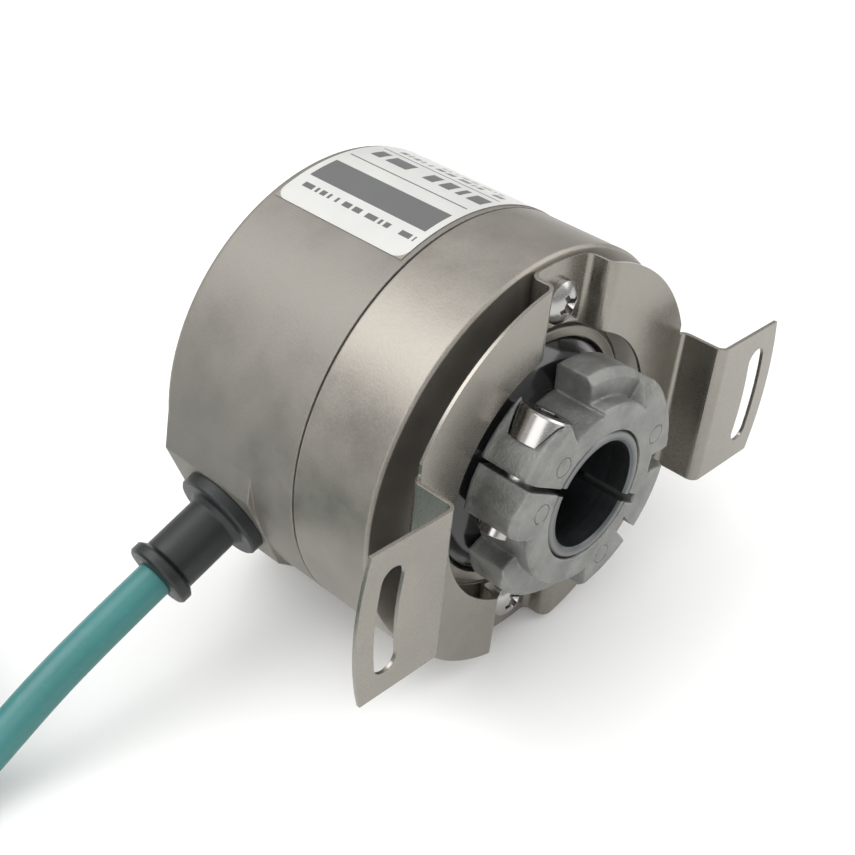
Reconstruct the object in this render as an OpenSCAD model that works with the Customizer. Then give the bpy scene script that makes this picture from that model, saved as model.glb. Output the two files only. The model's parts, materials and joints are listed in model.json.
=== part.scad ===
// Hollow-shaft rotary encoder with a clamping hub, a spring stator coupling and a cable.
// Row frame: the shaft axis lies along Y, its clamped end faces -Y, and +Z is up.
// The origin is on the shaft axis, in the plane of the flange's front face.
// Parts are drawn in a shaft frame whose z runs along the shaft towards the clamped end.

/* [Housing] */
// Outer diameter of the housing
body_d = 58; // [52:0.5:70]
// Length of the rear cover, from the seam to the rear face
cover_len = 24.5; // [24:0.5:32]
// Length of the front flange's rim, from its front face to the seam
flange_len = 12.9; // [11:0.1:16]
// Wall of the rear cover
cover_wall = 2; // [1.2:0.1:2.4]
// Thickness of the rear cover's end wall
cover_floor = 2.5; // [2:0.1:3]
// Thickness of the flange's front wall
flange_web = 3.6; // [2.5:0.1:5]
// Edge rounding at the rear rim
rim_round = 1; // [0.4:0.1:1.5]

/* [Shaft] */
// Bore of the hollow shaft
bore_d = 15; // [10:0.5:16]
// Wall of the shaft's slotted end
collet_wall = 1.65; // [1.2:0.05:1.8]
// How far the shaft's clamped end stands in front of the flange
nose_len = 11.3; // [10:0.1:14]
// Width of the slots in the clamped end
slit_w = 1.1; // [0.8:0.1:1.6]
// Length of the slots in the clamped end
slit_len = 8; // [5:0.5:9]

/* [Bearings] */
// Radial height of a bearing, from bore to outside
bearing_rise = 3.5; // [3.5:0.1:4]
// Width of a bearing
bearing_w = 4; // [3.6:0.1:4.4]
// Distance between the two bearings
bearing_gap = 4; // [3.6:0.1:4.4]
// Diameter of a ball
ball_d = 2; // [1.8:0.05:2]
// Number of balls in a bearing
ball_count = 16; // [12:1:18]

/* [Clamping hub] */
// Outer diameter of the clamping hub
hub_d = 32.4; // [32:0.1:34]
// Outer diameter of the raised ring round the shaft
hub_ring_d = 25.4; // [24.6:0.1:26]
// Gap between the flange's front face and the hub
hub_lift = 3.2; // [3:0.1:4]
// How far the two low lobes lie behind the hub's face
lobe_drop = 2.5; // [1.5:0.1:3]
// Direction of the split, counted from +X towards +Z
hub_turn = 144.5; // [100:0.5:180]
// Width of the split
split_w = 0.9; // [0.6:0.1:1.2]
// Length of the clamp screw under its head
clamp_screw_len = 12; // [11:1:13]

/* [Stator coupling] */
// Thickness of the spring sheet
sheet_t = 0.5; // [0.4:0.05:0.6]
// Height of the spring plate's front face over the flange
plate_h = 4.1; // [3.6:0.1:5]
// Height of the ears' front face over the flange
ear_h = 10.75; // [8:0.05:12]
// Diameter of the opening round the hub
opening_d = 38.2; // [37.6:0.2:40]
// Width of a foot
foot_w = 11.8; // [9:0.1:13]
// How far a foot lies to one side of the plate's middle
foot_shift = 0.85; // [0:0.05:1.5]
// Width of an ear
ear_w = 21.5; // [18:0.5:24]
// Pitch circle of the ears' slots
slot_pcd = 73.2; // [70:0.1:76]
// Width of a slot
slot_w = 3.6; // [3:0.1:4.2]
// Half of a slot's angle
slot_half = 9.15; // [8:0.05:12]
// Direction of the first ear, counted from +X towards +Z
coupling_turn = -7.4; // [-40:0.1:40]

/* [Label] */
// Width of the label along the shaft
label_w = 22.4; // [18:0.2:22.6]
// Angle that the label covers
label_angle = 100; // [60:5:120]

/* [Cable] */
// Diameter of the cable
cable_d = 5.2; // [5:0.1:5.3]
// Direction of the cable gland, counted from +X towards +Z
gland_turn = 197; // [197:1:197]
// Distance of the gland's axis behind the flange's front face
gland_back = 27.8; // [27.8:0.1:27.8]
// Diameter of the gland's stem
stem_d = 7.9; // [7.5:0.1:8.5]
// Diameter of the gland's end collar
collar_d = 9.7; // [9:0.1:10.5]

/* [Hidden] */
$fn = 64;

// Small amount by which a cutting solid passes the face it cuts
over = 1;

// Housing
body_r = body_d / 2;
cover_r = body_r - cover_wall;
cover_back = -(flange_len + cover_len);
floor_front = cover_back + cover_floor;
seam_w = 0.35;
seam_depth = 0.6;
rim_chamfer = 0.35;
spigot_play = 0.05;
spigot_r = cover_r - spigot_play;
spigot_wall = 2.35;
spigot_len = 4;
oring_d = 1.1;
oring_z = -(flange_len + 1.7);

// Shaft and bearings, each placed from the flange's front face backwards
bore_r = bore_d / 2;
collet_r = bore_r + collet_wall;
seat_r = collet_r + 0.85;
race_r = seat_r + bearing_rise;
ball_r = ball_d / 2;
ball_pitch = seat_r + bearing_rise / 2;
groove_play = 0.06;
land = 0.65;
lip_z = -1.6;
lip_t = 0.4;
lip_r = race_r - 0.8;
front_bearing_z = lip_z - lip_t - bearing_w / 2;
rear_bearing_z = front_bearing_z - bearing_w - bearing_gap;
boss_back = rear_bearing_z - bearing_w / 2 - 0.4;
boss_r = race_r + 3.7;
seal_pocket_r = seat_r + 7;
seal_play = 0.3;
seal_top_w = 2;
lip_ring_w = 1.35;
lip_ring_h = 0.4;
ring_groove_w = 0.7;
ring_t = 0.8;
ring_z = rear_bearing_z - bearing_w / 2 - ring_t;
ring_depth = 0.5;
shaft_back = cover_back + 0.4;
collet_back = hub_lift - 1;
collet_chamfer = 0.5;
bore_chamfer = 0.3;

// Disc and its reading parts
disc_hub_t = 1.5;
disc_t = 1;
clamp_t = 1.5;
disc_hub_r = seat_r + 3;
disc_hub_z = ring_z - 0.2;
disc_front = disc_hub_z - disc_hub_t;
disc_back = disc_front - disc_t;
pillar_r = cover_r - 4.5;
pillar_across = 4.4;
disc_r = pillar_r - 3;
read_gap = 0.4;
board_t = 1.6;
board_front = disc_back - clamp_t - 0.5;
board_back = board_front - board_t;
board_r = cover_r - 1.6;
board_hole_r = disc_hub_r + 0.6;
reticle_t = 0.3;
reader_turn = 40;
track_r = (disc_hub_r + disc_r) / 2 + 0.6;
pillar_turns = [0, 120, 240];
stud_r = 1.25;
stud_len = 3;

// Screws
m3_r = 1.5;
pan_r = 2.9;
pan_h = 2;
cross_w = 0.75;
cross_l = 3.2;
m4_r = 2;
cap_r = 3.45;
cap_h = 4;
hex_r = 1.73;
csk_r = 3;
csk_h = 1.6;

// Clamping hub: x along the split, y across it
hub_r = hub_d / 2;
hub_ring_r = hub_ring_d / 2;
hub_edge = 0.9;
lobe_z = nose_len - lobe_drop;
clamp_x = collet_r + 3.45;
clamp_z = hub_lift + 4;
clamp_seat = -4.3;
clamp_end = 6.65;
clamp_flat = hub_r - 0.6;
block_chamfer = 1.1;
pocket_r = cap_r + 0.2;
pocket_len = 6.7;
relief_w = 1.4;
relief_r = collet_r + 1.9;
// Each high segment of the hub's edge: first and last angle, counted from the split
HIGH_SEGMENTS = [[-32, 30], [-149, -101], [-195, -161], [-236, -204]];
// Each gap cut through the hub's edge: middle, half width in mm, and its floor's radius
EDGE_GAPS = [[-155, 1.45, 11.9], [-199.5, 1.1, 11], [-242, 1.4, 12.4]];
// Round marks left in the hub's face by the casting's ejector pins: angle and radius of each
PIN_MARKS = [[-16.5, 11.3], [15.5, 11.3], [-132.5, 12.5], [-221.5, 12.5]];
mark_r = 1.45;
mark_w = 0.25;
mark_depth = 0.15;

// Stator coupling
plate_r = body_r - 0.8;
opening_r = opening_d / 2;
ear_web = body_r - 2.2;
slot_r = slot_pcd / 2;
ear_r = slot_r + 4.55;
foot_screw_r = (opening_r + plate_r) / 2 - 0.9;
bend_in = 0.9;
ear_corner = 0.5;

// Gland
pad_top = body_r + 0.1;
pad_half = 6.9;
pad_root = body_r - 0.3;
pad_spread = 27;
pad_front = -(gland_back - 7.3);
gland_flange_r = 6.6;
gland_flange_t = 1.9;
stem_r = stem_d / 2;
collar_r = collar_d / 2;
collar_from = 42.2 - 1.9;
gland_end = 42.2;
gland_inner = 24.2;
nut_far = sqrt(cover_r * cover_r - 5.6 * 5.6) - 0.1;
nut_t = 2;
nut_r = 5.6;
wire_r = 0.45;
wire_step = 1.8;
header_r = 16.4;
header_w = 4.6;
header_h = 3.6;

// Label
label_t = 0.12;
label_from = 107.5 - label_angle;
label_z = -(flange_len + 0.7);

// Cable route, in the row frame: out of the gland, down to the floor and into the coil
cable_r = cable_d / 2;
LEAD = [
    [-22.95, 27.8, -7.02], [-31.6, 27.8, -9.66], [-40.36, 27.8, -12.34], [-46, 27.8, -14.1],
    [-51.5, 27.8, -15.9], [-56.5, 27.8, -17.7], [-61, 27.8, -19.6], [-65.5, 27.8, -21.7],
    [-70.5, 27.8, -23.9], [-77, 27.8, -25.6], [-84.5, 27.8, -26.1], [-92, 27.8, -26], [-100, 27.8, -25.4]
];
// Coil: it lies flat on its ties, whose bands are tie_t thick
coil_x = -100;
coil_y = 61.5;
floor_z = -29;
tie_t = 1;
pitch = 5.25;
coil_mid_r = 28.5;
coil_low = floor_z + tie_t;
coil_z0 = coil_low + 2.6;
coil_half = 1.5 * pitch + 0.1;
tie_w = 3.4;
TIE_TURNS = [40, 160, 280];
// The cable's last stretch, from the coil's top up to the connector lying on it, round the coil's centre
tail_turn = -38;
TAIL = [
    [25.8, 21.7, -14.9], [29.3, 16.9, -14.6], [31.9, 11.1, -13.9], [33.4, 4.7, -12.9],
    [33.4, -1.6, -11.6], [31.9, -8, -10.1], [28.9, -14.4, -8.6], [25, -19.6, -7.2],
    [20.6, -24, -6], [16.4, -26.8, -5.3], [12, -28, -5.1], [6, -28.2, -5]
];
// Connector: it lies along the coil's top, its axis along -x of the tail's own frame
connector_x = 13;
connector_y = -28.15;
connector_z = -5;
grip_r = 7.3;
grip_len = 27;
knurl_r = 7.05;
knurl_len = 9;
thread_r = 6;
thread_len = 6;
core_r = 4.4;
core_play = 0.08;
pin_r = 0.4;
pin_ring = 2.6;

// Turns the shaft frame into the row frame
module lay() {
    rotate([90, 0, 0])
        children();
}

// Places its child on the gland's axis, whose z then runs outwards
module on_gland() {
    translate([0, 0, -gland_back])
        rotate([0, 0, gland_turn])
            rotate([0, 90, 0])
                children();
}

// Places its child at each pillar
module at_pillars() {
    for (turn = pillar_turns)
        rotate([0, 0, turn])
            translate([pillar_r, 0, 0])
                children();
}

// Places its child at each foot screw
module at_feet() {
    for (side = [90, 270])
        rotate([0, 0, coupling_turn + side])
            translate([foot_screw_r, -foot_shift, 0])
                children();
}

// A ring about the shaft from z1 up to z2
module ring(r_in, r_out, z1, z2) {
    rotate_extrude()
        translate([r_in, z1])
            square([r_out - r_in, z2 - z1]);
}

// A wedge about z between two angles, wide enough for radius r
module wedge(a0, a1, r, z1, z2) {
    mid = (a0 + a1) / 2;
    far = r * 1.5;
    translate([0, 0, z1])
        linear_extrude(z2 - z1)
            polygon([
                [0, 0], [far * cos(a0), far * sin(a0)],
                [far * cos((a0 + mid) / 2), far * sin((a0 + mid) / 2)],
                [far * cos(mid), far * sin(mid)],
                [far * cos((a1 + mid) / 2), far * sin((a1 + mid) / 2)],
                [far * cos(a1), far * sin(a1)]
            ]);
}

// ---- Housing ----

module rear_cover() {
    color([0.62, 0.6, 0.57]) lay() difference() {
        union() {
            rotate_extrude() difference() {
                union() {
                    translate([0, cover_back + rim_round])
                        square([body_r, cover_len - rim_round]);
                    translate([0, cover_back])
                        square([body_r - rim_round, cover_len]);
                    translate([body_r - rim_round, cover_back + rim_round])
                        circle(rim_round);
                }
                translate([0, floor_front])
                    square([cover_r, cover_len]);
            }
            // flat pad under the gland, whose sides run into the round wall
            intersection() {
                rotate([0, 0, gland_turn])
                    translate([0, 0, cover_back])
                        linear_extrude(cover_len)
                            polygon([
                                [0, 0], pad_root * [cos(pad_spread), -sin(pad_spread)],
                                [pad_top, -pad_half], [pad_top, pad_half],
                                pad_root * [cos(pad_spread), sin(pad_spread)]
                            ]);
                ring(cover_r, body_r + 3, cover_back + 0.4, pad_front);
            }
        }
        on_gland()
            cylinder(r = stem_r + 0.05, h = body_r + 3);
        translate([0, 0, cover_back - over])
            cylinder(r = seat_r + 3.2, h = cover_floor + 2 * over);
        at_pillars() {
            translate([0, 0, cover_back - over])
                cylinder(r = m3_r + 0.1, h = cover_floor + 2 * over);
            translate([0, 0, cover_back])
                cylinder(r1 = csk_r + 0.1, r2 = m3_r + 0.1, h = csk_h);
        }
    }
}

module front_flange() {
    ring_r = seal_pocket_r + lip_ring_w;
    color([0.63, 0.61, 0.58]) lay() difference() {
        union() {
            rotate_extrude()
                polygon([
                    [race_r, lip_z - lip_t], [lip_r, lip_z - lip_t], [lip_r, lip_z],
                    [seal_pocket_r, lip_z], [seal_pocket_r, 0],
                    [body_r - rim_chamfer, 0], [body_r, -rim_chamfer],
                    [body_r, -flange_len + seam_w], [body_r - seam_depth, -flange_len + seam_w],
                    [body_r - seam_depth, -flange_len],
                    [spigot_r, -flange_len], [spigot_r, -flange_len - spigot_len + 0.4],
                    [spigot_r - 0.4, -flange_len - spigot_len],
                    [spigot_r - spigot_wall, -flange_len - spigot_len],
                    [spigot_r - spigot_wall, -flange_web], [boss_r, -flange_web],
                    [boss_r, boss_back], [race_r, boss_back]
                ]);
            ring(seal_pocket_r, ring_r, -over, lip_ring_h);
        }
        ring(ring_r, ring_r + ring_groove_w, -0.5, over);
        ring(cover_r - oring_d, body_r, oring_z - 0.7, oring_z + 0.7);
        at_feet()
            translate([0, 0, -flange_web - over])
                cylinder(r = m3_r, h = flange_web + 2 * over);
        at_pillars()
            translate([0, 0, -flange_web - over])
                cylinder(r = stud_r, h = stud_len + over);
    }
}

module label() {
    color([0.86, 0.86, 0.84]) lay()
        translate([0, 0, label_z - label_w])
            rotate([0, 0, label_from])
                rotate_extrude(angle = label_angle)
                    translate([body_r, 0])
                        square([label_t, label_w]);
}

module cover_o_ring() {
    color([0.08, 0.08, 0.08]) lay()
        rotate_extrude()
            translate([cover_r - oring_d / 2, oring_z])
                circle(oring_d / 2, $fn = 32);
}

module cover_screws() {
    color([0.7, 0.7, 0.72]) lay() at_pillars() difference() {
        union() {
            translate([0, 0, cover_back + 0.1])
                cylinder(r1 = csk_r, r2 = m3_r, h = csk_h - 0.1);
            translate([0, 0, cover_back + csk_h])
                cylinder(r = m3_r, h = 6);
        }
        for (turn = [0, 90])
            rotate([0, 0, turn + 20])
                translate([-cross_l / 2, -cross_w / 2, cover_back])
                    cube([cross_l, cross_w, 1]);
    }
}

module rear_seal() {
    color([0.1, 0.1, 0.1]) lay() rotate_extrude()
        polygon([
            [seat_r + seal_play, cover_back + 0.3], [seat_r + 3.2, cover_back + 0.3],
            [seat_r + 3.2, floor_front + 0.6], [seat_r + 2.2, floor_front + 0.6],
            [seat_r + 1.4, cover_back + 1.3], [seat_r + seal_play, cover_back + 0.9]
        ]);
}

// ---- Stator coupling ----

// Points round a bend from angle a0 to a1
function bend(c, r, a0, a1) = [for (k = [0 : 6]) c + r * [cos(a0 + (a1 - a0) * k / 6), sin(a0 + (a1 - a0) * k / 6)]];

// The sheet's underside over a web whose inner face is at u
function under(u, low, high) = concat(
    bend([u - bend_in, low + sheet_t + bend_in], bend_in + sheet_t, -90, 0),
    bend([u + bend_in + sheet_t, high - sheet_t - bend_in], bend_in, 180, 90)
);

// The sheet's upper side over the same web, in the opposite order
function upper(u, low, high) = concat(
    bend([u + bend_in + sheet_t, high - sheet_t - bend_in], bend_in + sheet_t, 90, 180),
    bend([u - bend_in, low + sheet_t + bend_in], bend_in, 0, -90)
);

// A list of points mirrored across u = 0, in the opposite order
function mirrored(pts) = [for (i = [len(pts) - 1 : -1 : 0]) [-pts[i][0], pts[i][1]]];

// Half of the sheet's section across a foot and an ear, for a foot whose inner web is at the given distance
ear_in = ear_web - sheet_t;
foot_in = foot_w / 2 - sheet_t;
function half_section(foot) = concat(
    under(foot, 0, plate_h),
    under(ear_in, plate_h - sheet_t, ear_h),
    [[ear_r + 1, ear_h - sheet_t], [ear_r + 1, ear_h]],
    upper(ear_in, plate_h - sheet_t, ear_h),
    upper(foot, 0, plate_h)
);

// An ear's flat outline: parallel sides and an outer edge round the shaft
module ear_outline() {
    c = ear_corner;
    h = ear_w / 2;
    edge = sqrt(ear_r * ear_r - h * h);
    difference() {
        intersection() {
            translate([ear_in - bend_in, -h])
                square([ear_r, ear_w]);
            circle(ear_r, $fn = 128);
        }
        for (side = [-1, 1])
            scale([1, side])
                polygon([[edge - 1.2 * c, h + 1], [edge + 2, h + 1], [edge + 2, h - 2 * c], [edge + 0.3, h - c]]);
    }
}

// A slot along the pitch circle
module arc_slot() {
    translate([0, 0, ear_h - 2]) {
        linear_extrude(4) intersection() {
            difference() {
                circle(slot_r + slot_w / 2, $fn = 128);
                circle(slot_r - slot_w / 2, $fn = 128);
            }
            polygon([
                [0, 0], [60 * cos(slot_half), -60 * sin(slot_half)],
                [60, 0], [60 * cos(slot_half), 60 * sin(slot_half)]
            ]);
        }
        for (side = [-1, 1])
            rotate([0, 0, side * slot_half])
                translate([slot_r, 0, 0])
                    cylinder(r = slot_w / 2, h = 4);
    }
}

module stator_coupling() {
    flat_half = ear_in - bend_in;
    color([0.68, 0.66, 0.61]) lay() rotate([0, 0, coupling_turn]) difference() {
        intersection() {
            union()
                for (side = [0, 180])
                    rotate([0, 0, side])
                        translate([0, 2 * body_r, 0])
                            rotate([90, 0, 0])
                                linear_extrude(2 * body_r)
                                    polygon(concat(
                                        half_section(foot_in + foot_shift),
                                        mirrored(half_section(foot_in - foot_shift))
                                    ));
            translate([0, 0, -over])
                linear_extrude(ear_h + 2 * over) union() {
                    difference() {
                        intersection() {
                            circle(plate_r, $fn = 128);
                            square([2 * flat_half, 2 * body_r], center = true);
                        }
                        circle(opening_r, $fn = 128);
                    }
                    ear_outline();
                    rotate(180)
                        ear_outline();
                }
        }
        for (side = [0, 180])
            rotate([0, 0, side])
                arc_slot();
        for (side = [90, 270])
            rotate([0, 0, side])
                translate([foot_screw_r, -foot_shift, -over])
                    cylinder(r = m3_r + 0.1, h = 3);
    }
}

module coupling_screws() {
    color([0.75, 0.76, 0.77]) lay() at_feet() difference() {
        union() {
            translate([0, 0, sheet_t])
                rotate_extrude() difference() {
                    intersection() {
                        square([pan_r, pan_h]);
                        translate([0, pan_h - 4.4])
                            circle(4.4);
                        translate([0, -0.1])
                            square([pan_r, pan_h + 0.1]);
                    }
                    translate([pan_r, pan_h])
                        rotate(45)
                            square(0.6, center = true);
                }
            translate([0, 0, sheet_t - 6])
                cylinder(r = m3_r, h = 6);
        }
        for (turn = [0, 90])
            rotate([0, 0, turn + 25])
                translate([-cross_l / 2, -cross_w / 2, sheet_t + pan_h - 1.1])
                    cube([cross_l, cross_w, 2]);
        translate([0, 0, sheet_t + pan_h - 1.1])
            cylinder(r1 = 0.5, r2 = 1.1, h = 1.1);
    }
}

// ---- Bearings ----

// One ring of a bearing, between two radii, with the ball groove cut in it
module race(r_in, r_out, z) {
    rotate_extrude() difference() {
        translate([r_in, z - bearing_w / 2])
            square([r_out - r_in, bearing_w]);
        translate([ball_pitch, z])
            circle(ball_r + groove_play);
    }
}

module balls(z) {
    for (i = [0 : ball_count - 1])
        rotate([0, 0, i * 360 / ball_count])
            translate([ball_pitch, 0, z])
                sphere(ball_r, $fn = 32);
}

module cage(z) {
    difference() {
        ring(ball_pitch - 0.35, ball_pitch + 0.35, z - 1.5, z + 1.5);
        for (i = [0 : ball_count - 1])
            rotate([0, 0, i * 360 / ball_count])
                translate([ball_pitch - 1, 0, z])
                    rotate([0, 90, 0])
                        cylinder(r = ball_r + 0.06, h = 2, $fn = 32);
    }
}

module front_bearing_outer() { color([0.72, 0.72, 0.74]) lay() race(ball_pitch + land, race_r, front_bearing_z); }
module front_bearing_inner() { color([0.72, 0.72, 0.74]) lay() race(seat_r, ball_pitch - land, front_bearing_z); }
module front_balls() { color([0.8, 0.8, 0.82]) lay() balls(front_bearing_z); }
module front_cage() { color([0.7, 0.55, 0.3]) lay() cage(front_bearing_z); }
module rear_bearing_outer() { color([0.72, 0.72, 0.74]) lay() race(ball_pitch + land, race_r, rear_bearing_z); }
module rear_bearing_inner() { color([0.72, 0.72, 0.74]) lay() race(seat_r, ball_pitch - land, rear_bearing_z); }
module rear_balls() { color([0.8, 0.8, 0.82]) lay() balls(rear_bearing_z); }
module rear_cage() { color([0.7, 0.55, 0.3]) lay() cage(rear_bearing_z); }

spacer_front = front_bearing_z - bearing_w / 2;
wave_t = 0.6;

module bearing_spacer() {
    color([0.6, 0.6, 0.62]) lay()
        ring(race_r - 1, race_r, rear_bearing_z + bearing_w / 2 + wave_t, spacer_front);
}

module wave_washer() {
    color([0.5, 0.5, 0.52]) lay()
        ring(race_r - 0.95, race_r - 0.05, rear_bearing_z + bearing_w / 2, rear_bearing_z + bearing_w / 2 + wave_t);
}

// ---- Shaft ----

module hollow_shaft() {
    color([0.7, 0.7, 0.7]) lay() difference() {
        rotate_extrude()
            polygon([
                [bore_r, shaft_back], [seat_r, shaft_back], [seat_r, collet_back],
                [collet_r, collet_back], [collet_r, nose_len - collet_chamfer],
                [collet_r - collet_chamfer, nose_len], [bore_r + bore_chamfer, nose_len],
                [bore_r, nose_len - bore_chamfer]
            ]);
        for (turn = [0, 180])
            rotate([0, 0, hub_turn + turn])
                translate([bore_r - over, -slit_w / 2, nose_len - slit_len])
                    cube([collet_wall + seat_r, slit_w, slit_len + over]);
        ring(seat_r - ring_depth, seat_r + over, ring_z, ring_z + ring_t);
    }
}

module shaft_ring() {
    color([0.3, 0.3, 0.32]) lay() difference() {
        ring(seat_r - ring_depth, seat_r + 1, ring_z, ring_z + ring_t);
        translate([0, -1.5, ring_z - over])
            cube([seat_r + 5, 3, ring_t + 2 * over]);
    }
}

module shaft_seal() {
    dome_w = seal_pocket_r - seal_play - seat_r;
    dome_drop = (dome_w * dome_w - seal_top_w * seal_top_w - hub_lift * hub_lift) / (2 * hub_lift);
    dome_r = sqrt(dome_w * dome_w + dome_drop * dome_drop);
    color([0.09, 0.1, 0.1]) lay() rotate_extrude() union() {
        translate([seat_r, lip_z + 0.3])
            square([dome_w, -lip_z - 0.3]);
        intersection() {
            translate([seat_r, -0.1])
                square([dome_w, hub_lift + 0.1]);
            translate([seat_r, -dome_drop])
                circle(dome_r);
        }
    }
}

module clamp_hub() {
    color([0.53, 0.53, 0.52]) lay() rotate([0, 0, hub_turn]) difference() {
        union() {
            // low body with both lobes, and the raised ring
            rotate_extrude()
                polygon([
                    [collet_r, hub_lift], [hub_r - 0.4, hub_lift], [hub_r, hub_lift + 0.4],
                    [hub_r, lobe_z - hub_edge], [hub_r - hub_edge, lobe_z],
                    [hub_ring_r, lobe_z], [hub_ring_r, nose_len - 0.3],
                    [hub_ring_r - 0.3, nose_len], [collet_r, nose_len]
                ]);
            // high segments of the edge
            intersection() {
                rotate_extrude()
                    polygon([
                        [collet_r, hub_lift + 0.4], [hub_r, hub_lift + 0.4],
                        [hub_r, nose_len - hub_edge], [hub_r - hub_edge, nose_len],
                        [collet_r, nose_len]
                    ]);
                union()
                    for (s = HIGH_SEGMENTS)
                        wedge(s[0], s[1], hub_r, hub_lift, nose_len);
            }
        }
        // the split
        translate([collet_r - over, -split_w / 2, hub_lift - over])
            cube([hub_r, split_w, nose_len]);
        // flat outer face of the threaded block, and the open side behind it
        translate([clamp_flat, 0, hub_lift - over])
            cube([hub_r, clamp_end + 4, nose_len]);
        intersection() {
            ring(hub_ring_r, hub_r + 2, hub_lift - over, nose_len + over);
            translate([-2, clamp_end, 0])
                cube([hub_r + 4, hub_r, nose_len + 1]);
            wedge(15, 53, hub_r, hub_lift - over, nose_len + over);
        }
        // way in for the clamp screw: its through hole, its seat and the cut beyond the head
        translate([clamp_x, clamp_end + 5, clamp_z])
            rotate([90, 0, 0])
                cylinder(r = m4_r, h = 24);
        translate([clamp_x, clamp_seat, clamp_z])
            rotate([90, 0, 0])
                cylinder(r = pocket_r, h = pocket_len);
        translate([clamp_flat, clamp_end, hub_lift - over])
            rotate([0, 0, 45])
                translate([-block_chamfer / sqrt(2), -hub_r, 0])
                    cube([hub_r, 2 * hub_r, nose_len]);
        intersection() {
            ring(hub_ring_r - 0.6, hub_r + 2, hub_lift - over, nose_len + over);
            wedge(-58, -32, hub_r, hub_lift - over, nose_len + over);
        }
        // gaps in the edge
        for (g = EDGE_GAPS)
            rotate([0, 0, g[0]])
                translate([g[2], -g[1], hub_lift - over])
                    cube([hub_r, 2 * g[1], nose_len]);
        for (m = PIN_MARKS)
            rotate([0, 0, m[0]])
                translate([m[1], 0, 0])
                    ring(mark_r - mark_w, mark_r, nose_len - mark_depth, nose_len + over);
        // relief opposite the split
        rotate([0, 0, 180])
            translate([collet_r - over, -relief_w / 2, hub_lift - over])
                cube([relief_r - collet_r + over, relief_w, nose_len]);
    }
}

module clamp_screw() {
    color([0.68, 0.68, 0.7]) lay() rotate([0, 0, hub_turn])
        translate([clamp_x, clamp_seat, clamp_z])
            rotate([90, 0, 0]) difference() {
                union() {
                    rotate_extrude()
                        polygon([[0, 0], [cap_r, 0], [cap_r, cap_h - 0.3], [cap_r - 0.3, cap_h], [0, cap_h]]);
                    translate([0, 0, -clamp_screw_len])
                        cylinder(r = m4_r, h = clamp_screw_len);
                }
                translate([0, 0, cap_h - 2])
                    cylinder(r = hex_r, h = 2 + over, $fn = 6);
            }
}

// ---- Disc and its reading parts ----

module disc_hub() {
    color([0.75, 0.75, 0.77]) lay() {
        ring(seat_r, disc_hub_r, disc_front, disc_hub_z);
        ring(seat_r, seat_r + 0.8, disc_back, disc_front);
    }
}

module code_disc() {
    color([0.6, 0.66, 0.66]) lay()
        ring(seat_r + 0.8, disc_r, disc_back, disc_front);
}

module disc_clamp() {
    color([0.75, 0.75, 0.77]) lay()
        ring(seat_r, disc_hub_r, disc_back - clamp_t, disc_back);
}

module emitter_block() {
    color([0.12, 0.12, 0.13]) lay() rotate([0, 0, reader_turn]) difference() {
        union() {
            translate([boss_r + 0.2, -4, boss_back - 0.6])
                cube([4.5, 8, -boss_back + 0.6 - flange_web]);
            translate([track_r - 2.6, -4, disc_front + read_gap])
                cube([boss_r + 4.7 - track_r + 2.6, 8, boss_back - disc_front - read_gap - 0.2]);
        }
        translate([track_r, 0, disc_front])
            cylinder(r = 1.2, h = 1.2, $fn = 32);
    }
}

module sensor_chip() {
    color([0.16, 0.16, 0.17]) lay() rotate([0, 0, reader_turn])
        translate([track_r - 2.5, -3.5, board_front])
            cube([5, 7, disc_back - read_gap - reticle_t - board_front]);
}

module reticle() {
    color([0.5, 0.6, 0.62]) lay() rotate([0, 0, reader_turn])
        translate([track_r - 1.8, -2.6, disc_back - read_gap - reticle_t])
            cube([3.6, 5.2, reticle_t]);
}

module circuit_board() {
    color([0.1, 0.35, 0.2]) lay() difference() {
        ring(board_hole_r, board_r, board_back, board_front);
        at_pillars()
            translate([0, 0, board_back - over])
                cylinder(r = stud_r + 0.1, h = board_t + 2 * over);
    }
}

// Chips, capacitors and a row of small parts: turn, radius, size along, size across, height
BOARD_PARTS = [
    [40, 18.5, 5, 6, 1.5], [85, 19, 4, 5, 1.2], [60, 21.5, 2, 1.2, 0.9], [152, 19.5, 6, 6, 1],
    [95, 22.6, 1.2, 2, 0.8], [105, 22.6, 1.2, 2, 0.8], [136, 22.6, 1.2, 2, 0.8],
    [260, 19.5, 5, 4, 1.6], [285, 19, 3, 3, 1.4], [300, 21, 1.6, 2.6, 0.9], [320, 19.5, 4, 6, 1.2]
];

module board_parts() {
    scale_r = board_r / 25.4;
    color([0.13, 0.13, 0.14]) lay()
        for (p = BOARD_PARTS)
            rotate([0, 0, p[0]])
                translate([p[1] * scale_r - p[2] / 2, -p[3] / 2, board_back - p[4]])
                    cube([p[2], p[3], p[4]]);
}

module board_header() {
    color([0.85, 0.84, 0.78]) lay() rotate([0, 0, gland_turn])
        translate([header_r, 0, board_back - header_h]) difference() {
            translate([0, -5, 0])
                cube([header_w, 10, header_h]);
            for (i = [-2 : 2])
                translate([header_w / 2, wire_step * i, -over])
                    cylinder(r = wire_r, h = over + 1.5, $fn = 24);
        }
}

module front_pillars() {
    color([0.78, 0.7, 0.45]) lay() at_pillars() difference() {
        union() {
            translate([0, 0, board_front])
                cylinder(d = pillar_across / cos(30), h = -flange_web - board_front, $fn = 6);
            translate([0, 0, -flange_web - 0.1])
                cylinder(r = stud_r, h = stud_len - 0.9);
        }
        translate([0, 0, board_front - over])
            cylinder(r = stud_r, h = stud_len + 1 + over);
    }
}

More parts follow.
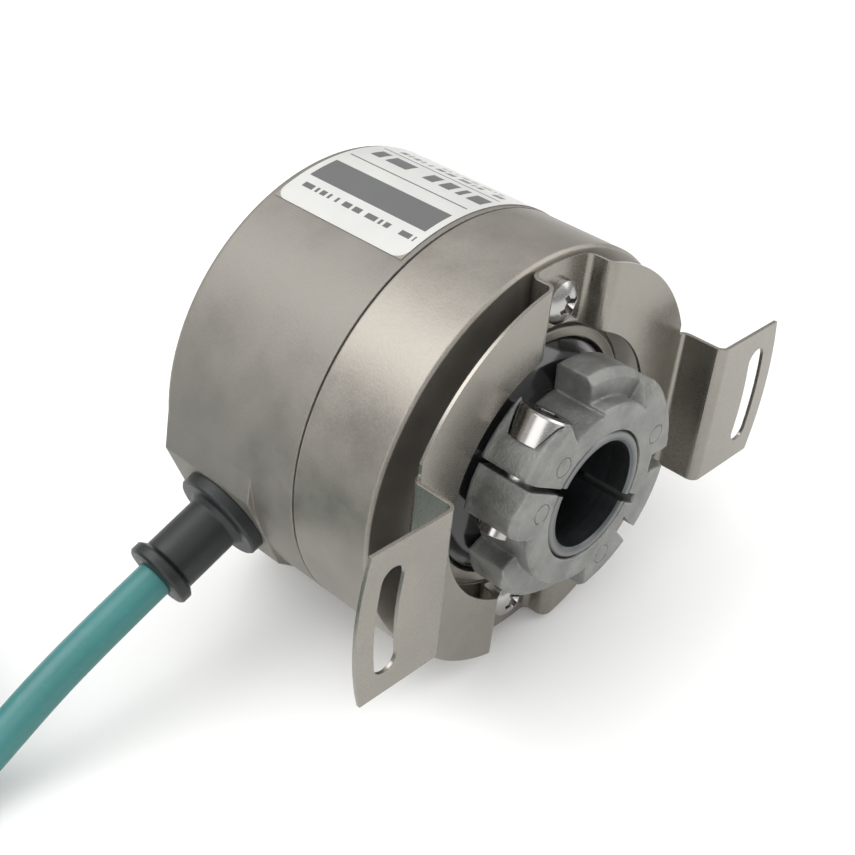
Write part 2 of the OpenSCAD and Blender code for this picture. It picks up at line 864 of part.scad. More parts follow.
module rear_pillars() {
    color([0.78, 0.7, 0.45]) lay() at_pillars() difference() {
        union() {
            translate([0, 0, floor_front])
                cylinder(d = pillar_across / cos(30), h = board_back - floor_front, $fn = 6);
            translate([0, 0, board_back - 0.1])
                cylinder(r = stud_r, h = board_t + stud_len);
        }
        translate([0, 0, floor_front - over])
            cylinder(r = m3_r, h = 8);
    }
}

// ---- Gland and cable ----

module cable_gland() {
    flange_from = pad_top;
    color([0.09, 0.1, 0.1]) lay() on_gland() difference() {
        union() {
            translate([0, 0, gland_inner])
                cylinder(r = stem_r, h = gland_end - gland_inner - 0.6);
            translate([0, 0, flange_from])
                rotate_extrude()
                    polygon([
                        [0, 0], [gland_flange_r, 0], [gland_flange_r, gland_flange_t - 0.3],
                        [gland_flange_r - 0.3, gland_flange_t], [stem_r + 0.6, gland_flange_t],
                        [stem_r, gland_flange_t + 0.8], [0, gland_flange_t + 0.8]
                    ]);
            translate([0, 0, collar_from])
                rotate_extrude()
                    polygon([
                        [0, -0.5], [stem_r, -0.5], [collar_r - 0.2, 0], [collar_r, 0.2], [collar_r, 1.4],
                        [collar_r - 0.3, 1.7], [cable_r + 0.9, 1.9], [0, 1.9]
                    ]);
        }
        translate([0, 0, gland_inner - over])
            cylinder(r = cable_r, h = gland_end);
    }
}

module gland_nut() {
    color([0.15, 0.15, 0.16]) lay() on_gland()
        translate([0, 0, nut_far - nut_t]) difference() {
            cylinder(d = 2 * nut_r, h = nut_t, $fn = 6);
            translate([0, 0, -over])
                cylinder(r = stem_r, h = nut_t + 2 * over);
        }
}

// A round wire from a to b with a small bead at its far end
module wire_run(a, b) {
    d = b - a;
    l = norm(d);
    translate(a)
        rotate([0, acos(d[2] / l), atan2(d[1], d[0])])
            cylinder(r = wire_r, h = l, $fn = 24);
    translate(b)
        sphere(wire_r + 0.08, $fn = 24);
}

module lead_wires() {
    header_face = board_back - header_h;
    color([0.75, 0.2, 0.15]) lay() rotate([0, 0, gland_turn])
        for (i = [-2 : 2]) {
            corner = [header_r + header_w / 2, wire_step * i, -gland_back];
            wire_run([24.4, 1.05 * i, -gland_back], corner);
            translate(corner)
                cylinder(r = wire_r, h = header_face + 1.2 + gland_back, $fn = 24);
        }
}

// A unit vector
function unit(v) = v / norm(v);

// The direction of a route at its point i
function along(route, i) =
    unit(route[min(i + 1, len(route) - 1)] - route[max(i - 1, 0)]);

// The points of a round ring about point i of a route
function tube_ring(route, i, r, sides) =
    let (
        t = along(route, i),
        side = unit(cross(t, abs(t[2]) > 0.9 ? [1, 0, 0] : [0, 0, 1])),
        up = cross(side, t)
    )
    [for (k = [0 : sides - 1]) route[i] + r * (cos(360 * k / sides) * side + sin(360 * k / sides) * up)];

// A tube swept along a route, closed at both ends
module tube(route, r, sides) {
    n = len(route);
    points = [for (i = [0 : n - 1]) for (p = tube_ring(route, i, r, sides)) p];
    walls = [
        for (i = [0 : n - 2]) for (k = [0 : sides - 1])
            let (a = i * sides + k, b = i * sides + (k + 1) % sides)
            [a, a + sides, b + sides, b]
    ];
    first = [for (k = [0 : sides - 1]) k];
    last = [for (k = [sides - 1 : -1 : 0]) (n - 1) * sides + k];
    polyhedron(points, concat(walls, [first, last]), convexity = 6);
}

module cable_lead() {
    color([0.31, 0.6, 0.58])
        tube(LEAD, cable_r, 10);
}

module cable_coil() {
    in_r = coil_mid_r - coil_half;
    out_r = coil_mid_r + coil_half;
    mid_r = coil_mid_r - pitch / 2;
    c = 1.4;
    top = coil_z0 + 2 * pitch + cable_r;
    color([0.31, 0.6, 0.58])
        translate([coil_x, coil_y, 0])
            rotate_extrude($fn = 96)
                polygon([
                    [in_r + c, coil_low], [out_r - c, coil_low], [out_r, coil_low + c],
                    [out_r, top - c], [out_r - c, top], [mid_r + c, top], [mid_r, top - c],
                    [mid_r, top - pitch + c], [mid_r - c, top - pitch],
                    [in_r + c, top - pitch], [in_r, top - pitch - c], [in_r, coil_low + c]
                ]);
}

// Places its child in the tail's own frame, round the coil's centre
module on_tail() {
    translate([coil_x, coil_y, 0])
        rotate([0, 0, tail_turn])
            children();
}

module cable_tail() {
    color([0.31, 0.6, 0.58]) on_tail()
        tube(TAIL, cable_r, 10);
}

module coil_ties() {
    in_r = coil_mid_r - coil_half - 0.1;
    out_r = coil_mid_r + coil_half + 0.1;
    top = coil_z0 + 2 * pitch + cable_r + 0.1;
    color([0.1, 0.1, 0.1])
        for (turn = TIE_TURNS)
            translate([coil_x, coil_y, 0]) rotate([0, 0, turn]) {
                difference() {
                    translate([in_r - tie_t, -tie_w / 2, floor_z])
                        cube([out_r - in_r + 2 * tie_t, tie_w, top + tie_t - floor_z]);
                    translate([in_r, -tie_w, coil_low])
                        cube([out_r - in_r, 2 * tie_w, top - coil_low]);
                }
                translate([out_r + tie_t, -tie_w / 2 - 0.8, coil_z0])
                    cube([2.2, tie_w + 1.6, 5]);
            }
}

// Places its child on the connector's axis, whose z then runs towards its pins
module on_connector() {
    on_tail()
        translate([connector_x, connector_y, connector_z])
            rotate([0, -90, 0])
                children();
}

module connector_body() {
    color([0.1, 0.1, 0.11]) on_connector() difference() {
        union() {
            rotate_extrude()
                polygon([
                    [0, 0], [3.9, 0], [4.6, 6], [5.4, 9], [grip_r - 0.4, 10.5], [grip_r, 11],
                    [grip_r, grip_len - 0.6], [grip_r - 0.6, grip_len], [0, grip_len]
                ]);
            translate([0, 0, grip_len - over])
                cylinder(r = core_r, h = knurl_len + over);
        }
        for (turn = [0 : 30 : 330])
            rotate([0, 0, turn])
                translate([grip_r + 0.3, 0, 12.5])
                    cylinder(r = 0.9, h = 12, $fn = 24);
        translate([0, 0, -over])
            cylinder(r = cable_r, h = 6 + over);
    }
}

module connector_pins() {
    color([0.85, 0.7, 0.35]) on_connector()
        for (i = [0 : 7])
            rotate([0, 0, i * 360 / 7])
                translate([i == 7 ? 0 : pin_ring, 0, grip_len + knurl_len])
                    cylinder(r = pin_r, h = thread_len - 1, $fn = 24);
}

module connector_nut() {
    color([0.75, 0.74, 0.7]) on_connector()
        translate([0, 0, grip_len + 0.3]) difference() {
            union() {
                cylinder(r = knurl_r, h = knurl_len);
                translate([0, 0, knurl_len - 0.1])
                    cylinder(r = thread_r, h = thread_len + 0.1);
            }
            translate([0, 0, -over])
                cylinder(r = core_r + core_play, h = knurl_len + thread_len + 2 * over);
            for (turn = [0 : 20 : 340])
                rotate([0, 0, turn])
                    translate([knurl_r + 0.25, 0, -over])
                        cylinder(r = 0.55, h = knurl_len + 0.2, $fn = 24);
        }
}

rear_cover();
front_flange();
label();
cover_o_ring();
cover_screws();
rear_seal();
stator_coupling();
coupling_screws();
front_bearing_outer();
rear_bearing_outer();
bearing_spacer();
wave_washer();
emitter_block();
sensor_chip();
reticle();
circuit_board();
board_parts();
board_header();
front_pillars();
rear_pillars();
cable_gland();
gland_nut();
lead_wires();
cable_lead();
cable_coil();
cable_tail();
coil_ties();
connector_body();
connector_pins();
connector_nut();
hollow_shaft();
clamp_hub();
clamp_screw();
shaft_seal();
front_bearing_inner();
rear_bearing_inner();
shaft_ring();
disc_hub();
code_disc();
disc_clamp();
front_balls();
front_cage();
rear_balls();
rear_cage();
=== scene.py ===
import json
import math

import bpy
from mathutils import Matrix, Vector


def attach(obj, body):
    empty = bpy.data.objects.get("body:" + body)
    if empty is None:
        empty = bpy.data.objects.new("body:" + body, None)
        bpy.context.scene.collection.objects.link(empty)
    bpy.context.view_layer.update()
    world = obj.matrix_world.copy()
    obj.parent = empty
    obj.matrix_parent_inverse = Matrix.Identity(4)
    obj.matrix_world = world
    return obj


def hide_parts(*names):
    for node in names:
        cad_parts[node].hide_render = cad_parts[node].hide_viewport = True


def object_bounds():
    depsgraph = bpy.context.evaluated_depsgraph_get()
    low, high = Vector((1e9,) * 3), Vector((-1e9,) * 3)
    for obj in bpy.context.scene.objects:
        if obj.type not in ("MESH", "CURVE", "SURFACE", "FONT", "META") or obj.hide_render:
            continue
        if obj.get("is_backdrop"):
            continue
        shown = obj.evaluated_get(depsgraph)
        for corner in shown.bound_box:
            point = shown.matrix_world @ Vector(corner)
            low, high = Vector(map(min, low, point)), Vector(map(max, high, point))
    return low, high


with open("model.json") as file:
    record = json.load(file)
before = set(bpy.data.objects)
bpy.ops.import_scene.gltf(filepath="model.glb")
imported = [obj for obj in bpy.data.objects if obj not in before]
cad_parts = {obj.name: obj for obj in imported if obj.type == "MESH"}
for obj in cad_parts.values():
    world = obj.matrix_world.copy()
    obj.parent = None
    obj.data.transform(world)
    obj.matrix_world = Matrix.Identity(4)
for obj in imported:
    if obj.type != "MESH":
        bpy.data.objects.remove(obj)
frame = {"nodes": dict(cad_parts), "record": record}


def box_list():
    """The shown object's box as plain numbers."""
    bpy.context.view_layer.update()
    lo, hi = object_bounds()
    return [list(lo), list(hi)]


cad_box = box_list()
NODES = frame["nodes"]
MM = 0.001

# ---------------------------------------------------------------- camera
cam_data = bpy.data.cameras.new("view_camera")
cam = bpy.data.objects.new("view_camera", cam_data)
bpy.context.scene.collection.objects.link(cam)
cam_data.sensor_width = 36.0
cam_data.lens = 59.0
cam_data.clip_start = 0.005
cam_data.clip_end = 20
right = Vector((0.68914, -0.72462, 0.0))
up = Vector((0.4583, 0.43586, 0.77458))
back = Vector((-0.56128, -0.5338, 0.63247))
turn = Matrix((right, up, back)).transposed()
cam.matrix_world = Matrix.Translation((-0.108828, -0.085916, 0.117332)) @ turn.to_4x4()
bpy.context.scene.camera = cam

# ---------------------------------------------------------------- cable
CABLE_R = 0.0026
LEAD = [
    (-22.95, 27.8, -7.02), (-31.6, 27.8, -9.66), (-40.36, 27.8, -12.34), (-46, 27.8, -14.1),
    (-51.5, 27.8, -15.9), (-56.5, 27.8, -17.7), (-61, 27.8, -19.6), (-65.5, 27.8, -21.7),
    (-70.5, 27.8, -23.9), (-77, 27.8, -25.6), (-84.5, 27.8, -26.1), (-92, 27.8, -26), (-100, 27.8, -25.4),
]
COIL = (-100, 61.5)
PITCH = 5.25
MID_R = 28.5
COIL_Z = -25.4
TAIL_TURN = -38
TAIL = [
    (25.8, 21.7, -14.9), (29.3, 16.9, -14.6), (31.9, 11.1, -13.9), (33.4, 4.7, -12.9),
    (33.4, -1.6, -11.6), (31.9, -8, -10.1), (28.9, -14.4, -8.6), (25, -19.6, -7.2),
    (20.6, -24, -6), (16.4, -26.8, -5.3), (12, -28, -5.1), (6, -28.2, -5),
]
# Each turn's column and layer, from the lead's end to the tail's start
TURNS = [(1, 0), (0, 0), (-1, 0), (-1, 1), (0, 1), (1, 1), (0, 2), (1, 2)]
COIL_TURNS = 7 + 268 / 360
COIL_START = -90.0
STEPS_PER_TURN = 40
SPLINE_STEPS = 4
# Part of a turn before and after its end in which it changes over to the next column or layer
CHANGE_OVER = 0.22


def spline_through(points, steps):
    """Points on a smooth line through the given ones, with this many steps between each two."""
    out = []
    n = len(points)
    for i in range(n - 1):
        p0 = points[max(i - 1, 0)]
        p1 = points[i]
        p2 = points[i + 1]
        p3 = points[min(i + 2, n - 1)]
        for k in range(steps):
            t = k / steps
            out.append(0.5 * ((2 * p1) + (p2 - p0) * t + (2 * p0 - 5 * p1 + 4 * p2 - p3) * t * t
                              + (3 * p1 - p0 - 3 * p2 + p3) * t * t * t))
    out.append(points[-1])
    return out


def smooth(t):
    """0 up to 0 and 1 from 1 on, with a gentle rise between."""
    return 0.5 - 0.5 * math.cos(math.pi * min(max(t, 0.0), 1.0))


def coil_points():
    """The turns: each keeps its column and layer, and changes over gently round the end of a turn."""
    count = int(STEPS_PER_TURN * COIL_TURNS)
    last = len(TURNS) - 1
    out = []
    for i in range(1, count):
        t = i / STEPS_PER_TURN
        whole = int(t)
        part = t - whole
        col, lay = TURNS[min(whole, last)]
        nxt = TURNS[min(whole + 1, last)]
        prev = TURNS[max(whole - 1, 0)]
        if part > 1 - CHANGE_OVER and whole < last:
            s = smooth((part - (1 - CHANGE_OVER)) / (2 * CHANGE_OVER))
            col = col + (nxt[0] - col) * s
            lay = lay + (nxt[1] - lay) * s
        elif part < CHANGE_OVER and whole > 0:
            s = smooth((part + CHANGE_OVER) / (2 * CHANGE_OVER))
            col = prev[0] + (col - prev[0]) * s
            lay = prev[1] + (lay - prev[1]) * s
        a = math.radians(COIL_START - 360 * t)
        r = MID_R + PITCH * col
        out.append(Vector((COIL[0] + r * math.cos(a), COIL[1] + r * math.sin(a), COIL_Z + PITCH * lay)))
    return out


def cable_route():
    """The whole cable's centreline, in metres: lead, coil and tail."""
    lead = [Vector(p) for p in LEAD]
    c, s = math.cos(math.radians(TAIL_TURN)), math.sin(math.radians(TAIL_TURN))
    tail = [Vector((COIL[0] + c * x - s * y, COIL[1] + s * x + c * y, z)) for x, y, z in TAIL]
    # the lead's first point lies inside the gland
    lead_fine = spline_through(lead[1:], SPLINE_STEPS)
    tail_fine = spline_through(tail, SPLINE_STEPS)
    return [p * MM for p in lead_fine + coil_points() + tail_fine]


route = cable_route()
curve = bpy.data.curves.new("cable", "CURVE")
curve.dimensions = "3D"
curve.bevel_depth = CABLE_R
curve.bevel_resolution = 6
curve.use_fill_caps = True
line = curve.splines.new("POLY")
line.points.add(len(route) - 1)
for p, q in zip(line.points, route):
    p.co = (*q, 1)
line.use_smooth = True
centreline = bpy.data.objects.new("centreline", curve)
bpy.context.scene.collection.objects.link(centreline)
bpy.context.view_layer.update()
tube = bpy.data.meshes.new_from_object(centreline.evaluated_get(bpy.context.evaluated_depsgraph_get()))
bpy.data.objects.remove(centreline)
tube.name = "cable"
cable = bpy.data.objects.new("cable", tube)
bpy.context.scene.collection.objects.link(cable)
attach(cable, "housing")
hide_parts("cable_lead", "cable_coil", "cable_tail")


# ---------------------------------------------------------------- materials
def new_mat(name):
    """A new material, its node tree and its shader."""
    m = bpy.data.materials.new(name)
    m.use_nodes = True
    nt = m.node_tree
    for n in list(nt.nodes):
        if n.type not in {"BSDF_PRINCIPLED", "OUTPUT_MATERIAL"}:
            nt.nodes.remove(n)
    return m, nt, next(n for n in nt.nodes if n.type == "BSDF_PRINCIPLED")


def put(nt, kind, **values):
    """A new node, with each value set on its socket or its property of that name."""
    n = nt.nodes.new(kind)
    for k, v in values.items():
        if k in n.inputs:
            n.inputs[k].default_value = v
        else:
            setattr(n, k, v)
    return n


def coords(nt, scale=(1, 1, 1), turned=False):
    """Object coordinates, stretched; turned gives (radius, place along the shaft, angle) for turned parts."""
    tc = put(nt, "ShaderNodeTexCoord")
    src = tc.outputs["Object"]
    if turned:
        sep = put(nt, "ShaderNodeSeparateXYZ")
        nt.links.new(src, sep.inputs[0])
        sq = put(nt, "ShaderNodeVectorMath", operation="LENGTH")
        flat = put(nt, "ShaderNodeVectorMath", operation="MULTIPLY")
        flat.inputs[1].default_value = (1, 0, 1)
        nt.links.new(src, flat.inputs[0])
        nt.links.new(flat.outputs[0], sq.inputs[0])
        ang = put(nt, "ShaderNodeMath", operation="ARCTAN2")
        nt.links.new(sep.outputs["Z"], ang.inputs[0])
        nt.links.new(sep.outputs["X"], ang.inputs[1])
        comb = put(nt, "ShaderNodeCombineXYZ")
        nt.links.new(sq.outputs["Value"], comb.inputs["X"])
        nt.links.new(sep.outputs["Y"], comb.inputs["Y"])
        small = put(nt, "ShaderNodeMath", operation="MULTIPLY")
        small.inputs[1].default_value = 0.001
        nt.links.new(ang.outputs[0], small.inputs[0])
        nt.links.new(small.outputs[0], comb.inputs["Z"])
        src = comb.outputs[0]
    mp = put(nt, "ShaderNodeMapping")
    mp.inputs["Scale"].default_value = scale
    nt.links.new(src, mp.inputs["Vector"])
    return mp.outputs[0]


def noise(nt, vec, scale, detail, rough):
    """Smooth noise from 0 to 1."""
    n = put(nt, "ShaderNodeTexNoise", Scale=scale, Detail=detail, Roughness=rough)
    nt.links.new(vec, n.inputs["Vector"])
    return n.outputs["Fac"]


def ramp(nt, fac, stops):
    """A colour from a value, by stops of position and colour."""
    r = put(nt, "ShaderNodeValToRGB")
    els = r.color_ramp.elements
    while len(els) < len(stops):
        els.new(0.5)
    for e, (p, c) in zip(els, stops):
        e.position = p
        e.color = (*c, 1) if len(c) == 3 else c
    nt.links.new(fac, r.inputs[0])
    return r.outputs[0]


def spread(nt, fac, low, high, a=0.3, b=0.7):
    """A value from a to b carried over to low to high."""
    r = put(nt, "ShaderNodeMapRange")
    r.inputs["From Min"].default_value = a
    r.inputs["From Max"].default_value = b
    r.inputs["To Min"].default_value = low
    r.inputs["To Max"].default_value = high
    nt.links.new(fac, r.inputs["Value"])
    return r.outputs[0]


def mix(nt, fac, a, b):
    """Colour a at 0 and colour b at 1."""
    m = put(nt, "ShaderNodeMix", data_type="RGBA")
    if isinstance(fac, (int, float)):
        m.inputs[0].default_value = fac
    else:
        nt.links.new(fac, m.inputs[0])
    for sock, v in ((m.inputs[6], a), (m.inputs[7], b)):
        if isinstance(v, tuple):
            sock.default_value = (*v, 1)
        else:
            nt.links.new(v, sock)
    return m.outputs[2]


def bump(nt, bsdf, height, strength, depth, soft=0.0):
    """Relief in the surface, over edges that look rounded by the soft radius."""
    b = put(nt, "ShaderNodeBump", Strength=strength, Distance=depth)
    nt.links.new(height, b.inputs["Height"])
    if soft:
        bev = put(nt, "ShaderNodeBevel", samples=4, Radius=soft)
        nt.links.new(bev.outputs[0], b.inputs["Normal"])
    nt.links.new(b.outputs[0], bsdf.inputs["Normal"])


def scaled(c, k):
    """A colour made lighter or darker."""
    return tuple(min(1.0, x * k) for x in c)


def edge_mask(nt, radius):
    """1 near sharp edges, 0 on flats, from how far a rounded normal leaves the true one."""
    bev = put(nt, "ShaderNodeBevel", samples=4, Radius=radius)
    geo = put(nt, "ShaderNodeNewGeometry")
    dot = put(nt, "ShaderNodeVectorMath", operation="DOT_PRODUCT")
    nt.links.new(bev.outputs[0], dot.inputs[0])
    nt.links.new(geo.outputs["Normal"], dot.inputs[1])
    r = put(nt, "ShaderNodeMapRange")
    r.inputs["From Min"].default_value = 0.99
    r.inputs["From Max"].default_value = 0.8
    r.inputs["To Min"].default_value = 0.0
    r.inputs["To Max"].default_value = 1.0
    nt.links.new(dot.outputs["Value"], r.inputs["Value"])
    return r.outputs[0]


def metal(name, base, rough=0.4, grain=9000, grain_depth=0.00002, blotch=90, vary=0.12, turned=False,
          stretch=(1, 1, 1), soft=0.0, edge_wear_highlight=0.0, metallic=1.0):
    """A metal with a fine grain, cloudy colour, varied roughness, and if asked edges lightened partly as wear and
    partly as a painted highlight.
    """
    m, nt, b = new_mat(name)
    v = coords(nt)
    g = coords(nt, stretch, turned)
    cloud = noise(nt, v, blotch, 4, 0.6)
    fine = noise(nt, g, grain, 2, 0.6)
    col = ramp(nt, cloud, [(0.3, scaled(base, 1 - vary)), (0.72, scaled(base, 1 + vary))])
    speck = ramp(nt, fine, [(0.25, (0.82, 0.82, 0.82)), (0.75, (1, 1, 1))])
    mul = put(nt, "ShaderNodeMix", data_type="RGBA", blend_type="MULTIPLY")
    mul.inputs[0].default_value = 0.7
    nt.links.new(col, mul.inputs[6])
    nt.links.new(speck, mul.inputs[7])
    out = mul.outputs[2]
    rgh = maths(nt, "ADD", spread(nt, cloud, rough * 0.86, rough * 1.14), spread(nt, fine, -0.05, 0.05))
    # Sharp edges are lighter in patches: partly wear, partly a painted highlight.
    if edge_wear_highlight:
        e = edge_mask(nt, 0.0005)
        patch = noise(nt, v, 900, 3, 0.6)
        worn_highlit_edge = put(nt, "ShaderNodeMath", operation="MULTIPLY")
        nt.links.new(e, worn_highlit_edge.inputs[0])
        nt.links.new(spread(nt, patch, 0, edge_wear_highlight, 0.35, 0.6), worn_highlit_edge.inputs[1])
        out = mix(nt, worn_highlit_edge.outputs[0], out, scaled(base, 1.7))
    nt.links.new(out, b.inputs["Base Color"])
    nt.links.new(rgh, b.inputs["Roughness"])
    b.inputs["Metallic"].default_value = metallic
    bump(nt, b, fine, 0.6, grain_depth, soft)
    return m


def plastic(name, base, rough=0.45, grain=5000, grain_depth=0.00002, blotch=120, vary=0.15, soft=0.0,
            coat=0.0, level=0.5, transmission=0.0):
    """A plastic, rubber or lacquer: cloudy colour, moulded grain and varied gloss."""
    m, nt, b = new_mat(name)
    v = coords(nt)
    cloud = noise(nt, v, blotch, 4, 0.6)
    fine = noise(nt, v, grain, 3, 0.6)
    col = ramp(nt, cloud, [(0.3, scaled(base, 1 - vary)), (0.72, scaled(base, 1 + vary))])
    dust = noise(nt, v, blotch * 14, 2, 0.5)
    col = mix(nt, spread(nt, dust, 0, 0.12, 0.6, 0.75), col, scaled(base, 1.8))
    nt.links.new(col, b.inputs["Base Color"])
    nt.links.new(maths(nt, "ADD", spread(nt, cloud, rough * 0.85, rough * 1.15), spread(nt, fine, -0.04, 0.04)),
                 b.inputs["Roughness"])
    b.inputs["Coat Weight"].default_value = coat
    b.inputs["Specular IOR Level"].default_value = level
    b.inputs["Transmission Weight"].default_value = transmission
    bump(nt, b, fine, 0.5, grain_depth, soft)
    return m


def compare(nt, value, middle, half):
    """1 where a value lies within half of the middle, else 0."""
    c = put(nt, "ShaderNodeMath", operation="COMPARE")
    nt.links.new(value, c.inputs[0])
    c.inputs[1].default_value = middle
    c.inputs[2].default_value = half
    return c.outputs[0]


def maths(nt, operation, a, b=0.0):
    """One sum of two sockets or numbers."""
    m = put(nt, "ShaderNodeMath", operation=operation)
    for sock, v in zip(m.inputs, (a, b)):
        if isinstance(v, (int, float)):
            sock.default_value = v
        else:
            nt.links.new(v, sock)
    return m.outputs[0]


# The label's rows: first and last angle in degrees, first and last place along the shaft in mm, and the
# length in mm of the marks that the row is broken into, 0 for an unbroken bar
LABEL_ROWS = [
    (87.5, 97.0, 14.6, 35.0, 0), (99.6, 101.4, 14.6, 34.2, 0.9), (82.0, 82.5, 14.6, 35.2, 0),
    (72.4, 77.4, 14.6, 34.0, 1.9), (69.4, 70.0, 14.6, 35.2, 0), (64.8, 67.2, 15.4, 33.5, 0.9),
    (61.6, 63.2, 15.4, 27.5, 0.8), (40.0, 52.0, 25.5, 34.0, 0.45), (28.0, 29.4, 15.4, 31.0, 1.0),
    (23.8, 25.2, 15.4, 26.5, 0.8),
]


# The label on the cover: its middle, half its size and its corner's radius, in mm and degrees
LABEL_R = 29.12
LABEL_MIDDLE = 57.5
LABEL_HALF_ROUND = 25.41
LABEL_BACK = 24.8
LABEL_HALF_LONG = 11.2
LABEL_CORNER = 1.8
INK = 0.86
GAPS = 0.3


def label_foil():
    """A grey foil with rounded corners, a dark bar, and rows of plain marks in place of any writing."""
    m, nt, b = new_mat("label_foil")
    vec = coords(nt)
    sep = put(nt, "ShaderNodeSeparateXYZ")
    nt.links.new(vec, sep.inputs[0])
    ang = maths(nt, "MULTIPLY", maths(nt, "ARCTAN2", sep.outputs["Z"], sep.outputs["X"]), 180 / math.pi)
    along = maths(nt, "MULTIPLY", sep.outputs["Y"], 1000.0)
    cloud = noise(nt, vec, 80, 4, 0.6)
    fine = noise(nt, vec, 4000, 3, 0.6)
    foil = ramp(nt, cloud, [(0.3, (0.5, 0.5, 0.48)), (0.72, (0.57, 0.57, 0.55))])
    ink = None
    for a0, a1, z0, z1, mark in LABEL_ROWS:
        row_mask = maths(nt, "MULTIPLY", compare(nt, ang, (a0 + a1) / 2, (a1 - a0) / 2),
                         compare(nt, along, (z0 + z1) / 2, (z1 - z0) / 2))
        if mark:
            w = put(nt, "ShaderNodeTexWhiteNoise", noise_dimensions="1D")
            nt.links.new(maths(nt, "FLOOR", maths(nt, "DIVIDE", along, mark / 2)), w.inputs["W"])
            row_mask = maths(nt, "MULTIPLY", row_mask, maths(nt, "GREATER_THAN", w.outputs["Value"], GAPS))
        ink = row_mask if ink is None else maths(nt, "MAXIMUM", ink, row_mask)
    printed = mix(nt, maths(nt, "MULTIPLY", ink, INK), foil, (0.03, 0.032, 0.034))
    # outside the rounded corners the housing shows
    round_way = maths(nt, "MULTIPLY", maths(nt, "SUBTRACT", ang, LABEL_MIDDLE), math.radians(LABEL_R))
    across = maths(nt, "ABSOLUTE", round_way)
    length = maths(nt, "ABSOLUTE", maths(nt, "SUBTRACT", along, LABEL_BACK))
    qa = maths(nt, "MAXIMUM", maths(nt, "SUBTRACT", across, LABEL_HALF_ROUND - LABEL_CORNER), 0.0)
    ql = maths(nt, "MAXIMUM", maths(nt, "SUBTRACT", length, LABEL_HALF_LONG - LABEL_CORNER), 0.0)
    away = maths(nt, "SQRT", maths(nt, "ADD", maths(nt, "MULTIPLY", qa, qa), maths(nt, "MULTIPLY", ql, ql)))
    outside = maths(nt, "GREATER_THAN", away, LABEL_CORNER)
    nt.links.new(mix(nt, outside, printed, (0.33, 0.305, 0.27)), b.inputs["Base Color"])
    nt.links.new(maths(nt, "MULTIPLY", outside, 0.9), b.inputs["Metallic"])
    nt.links.new(maths(nt, "ADD", spread(nt, cloud, 0.36, 0.44), spread(nt, fine, -0.04, 0.04)), b.inputs["Roughness"])
    b.inputs["Coat Weight"].default_value = 0.15
    bump(nt, b, fine, 0.4, 0.000005)
    return m


def shaft_steel():
    """Turned steel: a dull light ring at the clamped end, darker beyond that ring, and a bore darkened with painted
    shade.
    """
    m = metal("shaft_steel", (0.2, 0.2, 0.195), 0.4, 1.0, 0.000004, 120, 0.1, turned=True,
              stretch=(3000, 3000, 400))
    nt = m.node_tree
    b = next(n for n in nt.nodes if n.type == "BSDF_PRINCIPLED")
    bright = b.inputs["Base Color"].links[0].from_socket
    flat = put(nt, "ShaderNodeVectorMath", operation="MULTIPLY")
    flat.inputs[1].default_value = (1, 0, 1)
    nt.links.new(coords(nt), flat.inputs[0])
    reach = put(nt, "ShaderNodeVectorMath", operation="LENGTH")
    nt.links.new(flat.outputs[0], reach.inputs[0])
    inside = spread(nt, reach.outputs["Value"], 1.0, 0.0, 0.0080, 0.0083)
    outer = spread(nt, reach.outputs["Value"], 0.0, 1.0, 0.0087, 0.0089)
    # Painted shade darkens the bore; the steel is also darker outside the light ring.
    nt.links.new(mix(nt, maths(nt, "MAXIMUM", inside, outer), bright, (0.12, 0.13, 0.135)),
                 b.inputs["Base Color"])
    return m


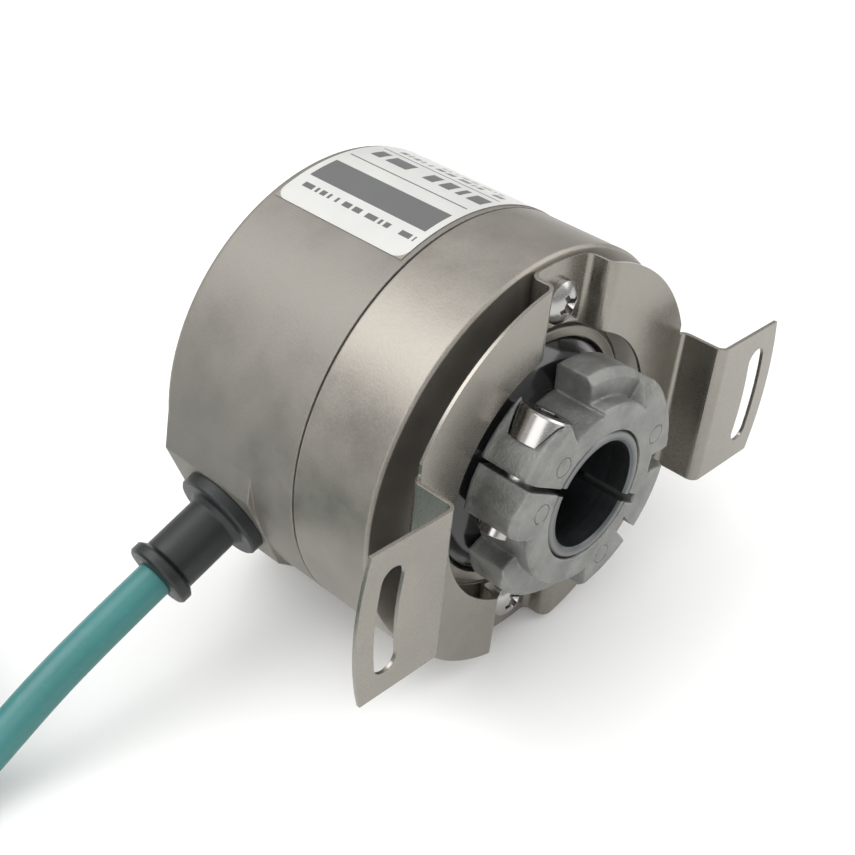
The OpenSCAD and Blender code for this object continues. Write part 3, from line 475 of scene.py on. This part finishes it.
MATS = {
    "cast_housing": metal("cast_housing", (0.262, 0.247, 0.222), 0.56, 3000, 0.00004, 140, 0.12, soft=0.0003,
                          edge_wear_highlight=0.35, metallic=0.75),
    "cast_flange": metal("cast_flange", (0.3, 0.278, 0.247), 0.42, 3000, 0.00003, 120, 0.13, soft=0.0003,
                         edge_wear_highlight=0.5, metallic=0.8),
    "spring_steel": metal("spring_steel", (0.285, 0.268, 0.238), 0.27, 9000, 0.000003, 60, 0.1, soft=0.00012,
                          metallic=0.9),
    "hub_casting": metal("hub_casting", (0.245, 0.248, 0.235), 0.5, 2800, 0.00012, 260, 0.28, soft=0.0007,
                         edge_wear_highlight=0.9, metallic=0.7),
    "turned_steel": metal("turned_steel", (0.4, 0.39, 0.37), 0.28, 1.0, 0.00001, 120, 0.08, turned=True,
                          stretch=(9000, 9000, 400)),
    "zinc_screw": metal("zinc_screw", (0.44, 0.43, 0.415), 0.24, 6000, 0.000002, 200, 0.05, soft=0.00015, edge_wear_highlight=0.1),
    "bearing_steel": metal("bearing_steel", (0.55, 0.55, 0.56), 0.12, 1.0, 0.000005, 100, 0.05, turned=True,
                           stretch=(9000, 9000, 300)),
    "brass_part": metal("brass_part", (0.72, 0.55, 0.26), 0.3, 1.0, 0.00001, 150, 0.1, turned=True,
                        stretch=(7000, 7000, 300), soft=0.0001),
    "nickel_brass": metal("nickel_brass", (0.6, 0.58, 0.54), 0.25, 3000, 0.00001, 150, 0.08, soft=0.0002, edge_wear_highlight=0.4),
    "black_seal": plastic("black_seal", (0.009, 0.0095, 0.01), 0.18, 2500, 0.00001, 90, 0.2, coat=0.25),
    "black_plastic": plastic("black_plastic", (0.009, 0.0115, 0.0115), 0.45, 3200, 0.00003, 90, 0.2, soft=0.0004),
    "cable_jacket": plastic("cable_jacket", (0.045, 0.185, 0.18), 0.4, 900, 0.00003, 60, 0.08, level=0.4),
    "label_foil": label_foil(),
    "board_green": plastic("board_green", (0.02, 0.12, 0.05), 0.3, 900, 0.00003, 200, 0.2, coat=0.5),
    "header_white": plastic("header_white", (0.7, 0.67, 0.58), 0.45, 3000, 0.00002, 200, 0.08, soft=0.0002),
    "wire_red": plastic("wire_red", (0.45, 0.03, 0.02), 0.35, 3000, 0.00002, 200, 0.1),
    "disc_glass": plastic("disc_glass", (0.75, 0.8, 0.8), 0.08, 2000, 0.000002, 60, 0.03, transmission=0.9),
}


def paint(obj, mat):
    """Gives every face of an object one material."""
    if not obj.material_slots:
        obj.data.materials.append(mat)
    for s in obj.material_slots:
        s.material = mat


slot_of = {s["node"]: s["material_slot"] for s in frame["record"]["subparts"]}
for name, obj in NODES.items():
    paint(obj, MATS[slot_of[name]])
paint(NODES["front_flange"], MATS["cast_flange"])
paint(NODES["hollow_shaft"], shaft_steel())
paint(cable, MATS["cable_jacket"])


# ---------------------------------------------------------------- stage
floor_z = cad_box[0][2]
floor_mesh = bpy.data.meshes.new("floor")
FLOOR_HALF = 3.0
corners = [(-FLOOR_HALF, -FLOOR_HALF, floor_z), (FLOOR_HALF, -FLOOR_HALF, floor_z),
           (FLOOR_HALF, FLOOR_HALF, floor_z), (-FLOOR_HALF, FLOOR_HALF, floor_z)]
floor_mesh.from_pydata(corners, [], [(0, 1, 2, 3)])
floor = bpy.data.objects.new("floor", floor_mesh)
bpy.context.scene.collection.objects.link(floor)
fm, fnt, fb = new_mat("pale_floor")
fb.inputs["Base Color"].default_value = (0.9, 0.9, 0.89, 1)
fb.inputs["Roughness"].default_value = 0.8
fb.inputs["Specular IOR Level"].default_value = 0.1
paint(floor, fm)
floor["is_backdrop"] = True


def area(name, loc, target, size, power):
    """A square soft light that faces its target."""
    light = bpy.data.lights.new(name, "AREA")
    light.energy = power
    light.size = size
    o = bpy.data.objects.new(name, light)
    bpy.context.scene.collection.objects.link(o)
    o.location = loc
    o.rotation_euler = (Vector(target) - Vector(loc)).to_track_quat("-Z", "Y").to_euler()


area("key", (-0.3, 0.3, 0.6), (0, 0.01, 0), 0.55, 2.9)
area("fill", (-0.55, -0.2, 0.3), (0, 0, 0), 0.5, 1.5)
area("side", (0.5, -0.3, 0.4), (0, 0, 0), 0.5, 1.6)

# Studio surround: bright overhead, darker towards the horizon
world = bpy.data.worlds.new("studio")
bpy.context.scene.world = world
world.use_nodes = True
wnt = world.node_tree
bg = next(n for n in wnt.nodes if n.type == "BACKGROUND")
sky = put(wnt, "ShaderNodeTexCoord")
height = put(wnt, "ShaderNodeSeparateXYZ")
wnt.links.new(sky.outputs["Generated"], height.inputs[0])
wnt.links.new(ramp(wnt, height.outputs["Z"], [(0.0, (0.38, 0.38, 0.38)), (0.3, (0.6, 0.6, 0.6)),
                                            (0.75, (1.0, 1.0, 1.0))]), bg.inputs["Color"])
bg.inputs["Strength"].default_value = 1.0
bpy.context.scene.view_settings.view_transform = "Standard"

{"cad": cad_box, "visual": box_list()}
